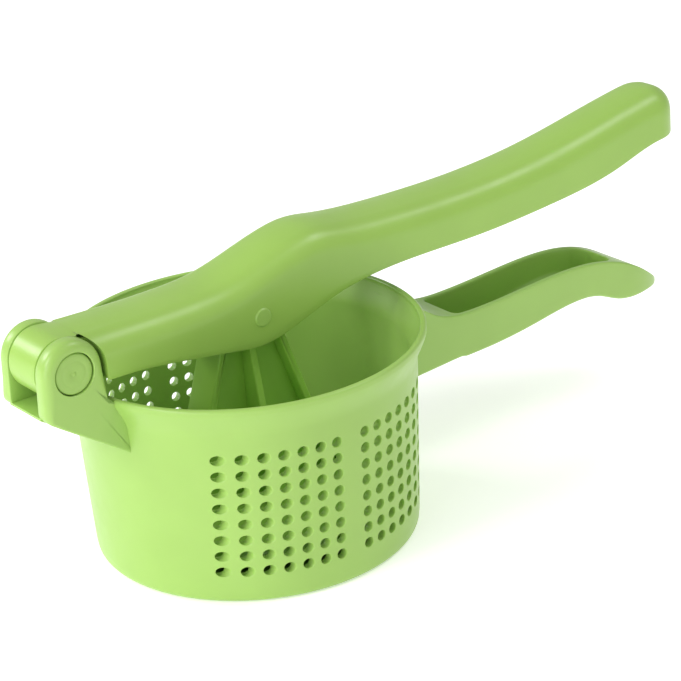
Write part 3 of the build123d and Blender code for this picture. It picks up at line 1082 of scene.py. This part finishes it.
class RICER_OT_grip(bpy.types.Operator):
    """Lower grip: an open channel that sweeps from the rim to a drooping tip"""

    bl_idname = "ricer.grip"
    bl_label = "Lower grip"

    def execute(self, context):
        finish = moulded_polypropylene("Moulded polypropylene, cup", colours().shell)
        make_piece("lower_grip", grip_grids(), finish, "basket")
        return {"FINISHED"}


class RICER_OT_lever(bpy.types.Operator):
    """Press lever with its barrel between the ears"""

    bl_idname = "ricer.lever"
    bl_label = "Press lever"

    def execute(self, context):
        finish = moulded_polypropylene("Moulded polypropylene, lever", colours().lever)
        make_piece("press_lever", lever_grids(), finish, "lever", ("lever",))
        make_piece("press_lever_barrel", arm_grids(), finish, "lever")
        return {"FINISHED"}


class RICER_OT_plunger(bpy.types.Operator):
    """Ribbed plunger and its press plate"""

    bl_idname = "ricer.plunger"
    bl_label = "Plunger"

    def execute(self, context):
        finish = moulded_polypropylene("Moulded polypropylene, plunger", colours().plunger)
        make_piece("press_plunger", plunger_grids(), finish, "plunger", ("plunger",))
        return {"FINISHED"}


class RICER_OT_pins(bpy.types.Operator):
    """Hinge pin, its cap and the plunger pin"""

    bl_idname = "ricer.pins"
    bl_label = "Pins"

    def execute(self, context):
        s = sizes()
        finish = moulded_polypropylene("Moulded polypropylene, pins", colours().pins)
        seat = (HINGE_X, 0.0, HINGE_Z)
        face = s.ear_outside - 0.3
        pin = [headed(face, -1, seat, 3.0, -8.0)]
        cap = [headed(face, 1, seat, 1.6, 4.0)]
        make_piece("headed_pin", pin, finish, "basket", ("hinge_pin",))
        make_piece("pin_cap", cap, finish, "basket", ("hinge_pin_cap",))
        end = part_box("plunger_pin")[1].y / MM + 0.45
        shank = lathe_grids(rod_profile(2.4, end, 0.35), (PRESS_X, 0.0, PRESS_Z), steps=48, axis="y")
        make_piece("plunger_rod", [shank], finish, "lever", ("plunger_pin",))
        return {"FINISHED"}


class RICER_OT_stage(bpy.types.Operator):
    """Pale floor, soft studio lights and the camera"""

    bl_idname = "ricer.stage"
    bl_label = "Studio"

    def execute(self, context):
        scene = bpy.context.scene
        scene.view_settings.view_transform = "Standard"
        paper = bpy.data.materials.new("Matt white studio card")
        paper.use_nodes = True
        tree = paper.node_tree
        shader = tree.nodes["Principled BSDF"]
        where = add(tree, "ShaderNodeTexCoord").outputs["Object"]
        tooth = add(tree, "ShaderNodeTexNoise", Vector=where, Scale=1 / (2 * MM))
        dent = add(tree, "ShaderNodeBump", Height=tooth.outputs["Fac"], Strength=0.1, Distance=0.05 * MM)
        tree.links.new(dent.outputs["Normal"], shader.inputs["Normal"])
        shader.inputs["Base Color"].default_value = tuple(colours().floor)
        shader.inputs["Roughness"].default_value = 0.9
        shader.inputs["Emission Color"].default_value = (1, 1, 1, 1)
        shader.inputs["Emission Strength"].default_value = 0.32
        size = 6.0
        mesh = bpy.data.meshes.new("studio_floor")
        corners = [(-size, -size, 0), (size, -size, 0), (size, size, 0), (-size, size, 0)]
        mesh.from_pydata(corners, [], [(0, 1, 2, 3)])
        floor = bpy.data.objects.new("studio_floor", mesh)
        mesh.materials.append(paper)
        scene.collection.objects.link(floor)

        world = bpy.data.worlds.new("White surround")
        world.use_nodes = True
        world.node_tree.nodes["Background"].inputs["Color"].default_value = (1, 1, 1, 1)
        world.node_tree.nodes["Background"].inputs["Strength"].default_value = 0.5
        scene.world = world
        # name, place and width in metres, power in watts
        lamps = (
            ("key softbox", (-0.95, 0.05, 0.75), 0.45, 5.2),
            ("side softbox", (-1.05, -0.35, 0.32), 0.7, 4.1),
            ("rear softbox", (-0.55, 0.95, 0.65), 0.35, 4.4),
            ("overhead strip", (0.5, -0.3, 0.8), 0.33, 1.9),
        )
        for name, place, width, watts in lamps:
            lamp = bpy.data.lights.new(name, "AREA")
            lamp.size = width
            lamp.energy = watts
            holder = bpy.data.objects.new(name, lamp)
            holder.location = place
            aim = np.array([0.02, 0.0, 0.04]) - np.array(place)
            holder.rotation_euler = direction(aim)
            scene.collection.objects.link(holder)

        camera = bpy.data.cameras.new("camera")
        camera.sensor_width = 36.0
        camera.lens = 142.76
        camera.clip_start = 0.01
        holder = bpy.data.objects.new("camera", camera)
        holder.matrix_world = looking(
            azimuth=-35.905, elevation=23.456, roll=4.471, target=(23.16, -8.58, 45.28), distance=660.87
        )
        scene.collection.objects.link(holder)
        scene.camera = holder
        return {"FINISHED"}


def direction(aim):
    """Turn that points a lamp along a direction."""
    return Vector(aim.tolist()).to_track_quat("-Z", "Y").to_euler()


def looking(azimuth, elevation, roll, target, distance):
    """Placing of a camera round a target in millimetres; azimuth 0 looks along +Y."""
    a, e, r = np.radians([azimuth, elevation, roll])
    back = np.array([math.sin(a) * math.cos(e), -math.cos(a) * math.cos(e), math.sin(e)])
    right = np.array([math.cos(a), math.sin(a), 0.0])
    up = np.cross(back, right)
    tilted = math.cos(r) * right - math.sin(r) * up
    risen = math.sin(r) * right + math.cos(r) * up
    place = (np.array(target) + back * distance) * MM
    rows = np.c_[tilted, risen, back, place].tolist() + [[0, 0, 0, 1]]
    return Matrix(rows)


class RICER_PT_panel(bpy.types.Panel):
    """Lists the ricer's pieces in the sidebar"""

    bl_idname = "RICER_PT_panel"
    bl_label = "Potato ricer"
    bl_space_type = "VIEW_3D"
    bl_region_type = "UI"
    bl_category = "Ricer"

    def draw(self, context):
        for operator in OPERATORS:
            self.layout.operator(operator.bl_idname)
        for group in (context.scene.ricer_sizes, context.scene.ricer_colours):
            box = self.layout.box()
            for name in group.bl_rna.properties.keys():
                if name not in ("rna_type", "name"):
                    box.prop(group, name)


OPERATORS = (
    RICER_OT_cup,
    RICER_OT_bracket,
    RICER_OT_grip,
    RICER_OT_lever,
    RICER_OT_plunger,
    RICER_OT_pins,
    RICER_OT_stage,
)
CLASSES = (RicerSizes, RicerColours, *OPERATORS, RICER_PT_panel)


def register():
    """Adds the classes and the two groups of properties."""
    for cls in CLASSES:
        bpy.utils.register_class(cls)
    bpy.types.Scene.ricer_sizes = bpy.props.PointerProperty(type=RicerSizes)
    bpy.types.Scene.ricer_colours = bpy.props.PointerProperty(type=RicerColours)


def unregister():
    """Takes away what register added."""
    del bpy.types.Scene.ricer_sizes
    del bpy.types.Scene.ricer_colours
    for cls in reversed(CLASSES):
        bpy.utils.unregister_class(cls)


def main():
    """Builds every piece in order."""
    register()
    bpy.ops.ricer.cup()
    bpy.ops.ricer.bracket()
    bpy.ops.ricer.grip()
    bpy.ops.ricer.lever()
    bpy.ops.ricer.plunger()
    bpy.ops.ricer.pins()
    bpy.ops.ricer.stage()


if __name__ == "__main__":
    main()
